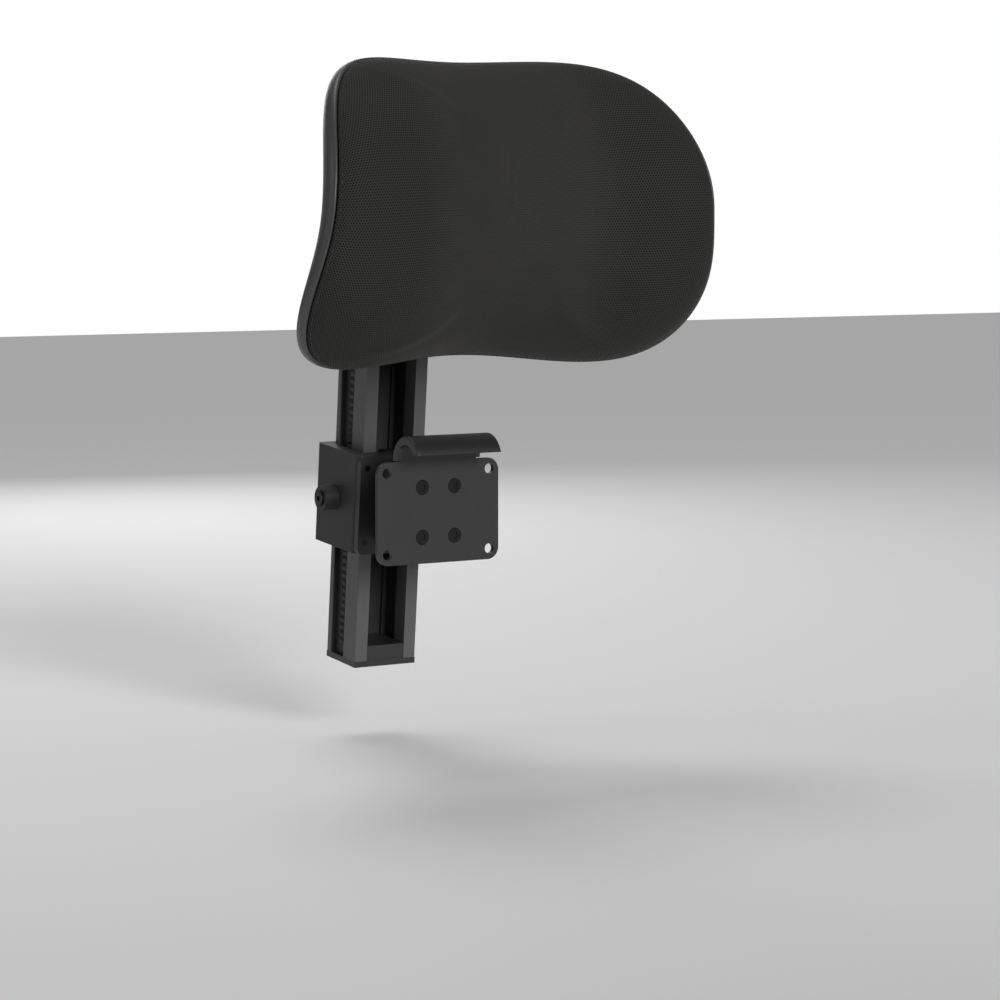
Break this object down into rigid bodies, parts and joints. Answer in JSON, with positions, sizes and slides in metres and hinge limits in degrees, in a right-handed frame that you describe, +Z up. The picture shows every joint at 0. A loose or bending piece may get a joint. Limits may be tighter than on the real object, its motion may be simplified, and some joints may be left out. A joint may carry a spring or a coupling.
{
  "type": "chair headrest attachment",
  "caption": "Winged fabric-covered headrest on a grooved aluminium stem that slides in a bracket hooked over a chair back, with height and tilt adjustment.",
  "frame": {"origin": "centre of the mounting plate's front face, which bears on the rear of the backrest, at the middle of its bolt pattern", "axes": "+Z up, -Y forward towards the sitter, +X to the right of a person looking at the front of the cushion"},
  "size_m": [0.2864, 0.2285, 0.394],
  "materials": {
    "coated_steel": "matte powder coat",
    "cover_plastic": "fine-textured moulded polypropylene",
    "liner_rubber": "matt",
    "cast_metal": "matte powder coat on die-cast aluminium",
    "collar_plastic": "glass-filled nylon, fine texture",
    "acetal": "acetal, semi-matt",
    "spring_steel": "wire",
    "steel": "blackened",
    "stem_aluminium": "black anodised",
    "rack_plastic": "acetal strip",
    "shell_plastic": "satin moulded polypropylene",
    "panel_plastic": "unseen moulded panel",
    "brass": "knurled inserts",
    "foam": "soft polyurethane foam, unseen",
    "mesh_fabric": "knitted polyester mesh"
  },
  "bodies": {
    "bracket": {"hook_plate": "coated_steel", "hook_cover": "cover_plastic", "hook_pad": "liner_rubber", "plate_screws": "steel", "standoff_arm": "cast_metal", "collar_front": "collar_plastic", "collar_rear": "collar_plastic", "collar_screws": "steel", "slide_block": "acetal", "block_screws": "steel", "guide_shoe_left": "acetal", "guide_shoe_right": "acetal", "detent_spring_left": "spring_steel", "detent_spring_right": "spring_steel", "plunger_cap_left": "steel", "plunger_cap_right": "steel"},
    "detent_left": {"detent_plunger_left": "acetal"},
    "detent_right": {"detent_plunger_right": "acetal"},
    "stem": {"stem_rail": "stem_aluminium", "rack_left": "rack_plastic", "rack_right": "rack_plastic", "stem_foot_cap": "cover_plastic", "foot_cap_screws": "steel", "stem_top_cap": "cover_plastic", "stem_head": "cast_metal", "stem_head_screws": "steel", "pivot_bolt": "steel", "pivot_nut": "steel", "friction_washers": "steel"},
    "headrest": {"head_plate": "coated_steel", "head_plate_screws": "steel", "back_shell": "shell_plastic", "shell_screws": "steel", "carrier_panel": "panel_plastic", "threaded_inserts": "brass", "foam_pad": "foam", "cover_fabric": "mesh_fabric"}
  },
  "joints": [
    {"name": "height", "type": "slide", "parent": "bracket", "child": "stem", "axis": [0, -0.0941, 0.9956], "range_m": [-0.035, 0.06]},
    {"name": "head_tilt", "type": "hinge", "parent": "stem", "child": "headrest", "pos_m": [0, 0.02, 0.191], "axis": [1, 0, 0], "range_deg": [-20, 20]},
    {"name": "detent_right_travel", "type": "slide", "parent": "bracket", "child": "detent_right", "axis": [1, 0, 0], "range_m": [0, 0.0015], "stiffness_N_per_m": 900, "springref_m": -0.002, "deforming": ["detent_spring_right"]},
    {"name": "detent_left_travel", "type": "slide", "parent": "bracket", "child": "detent_left", "axis": [-1, 0, 0], "range_m": [0, 0.0015], "stiffness_N_per_m": 900, "springref_m": -0.002, "deforming": ["detent_spring_left"]}
  ]
}
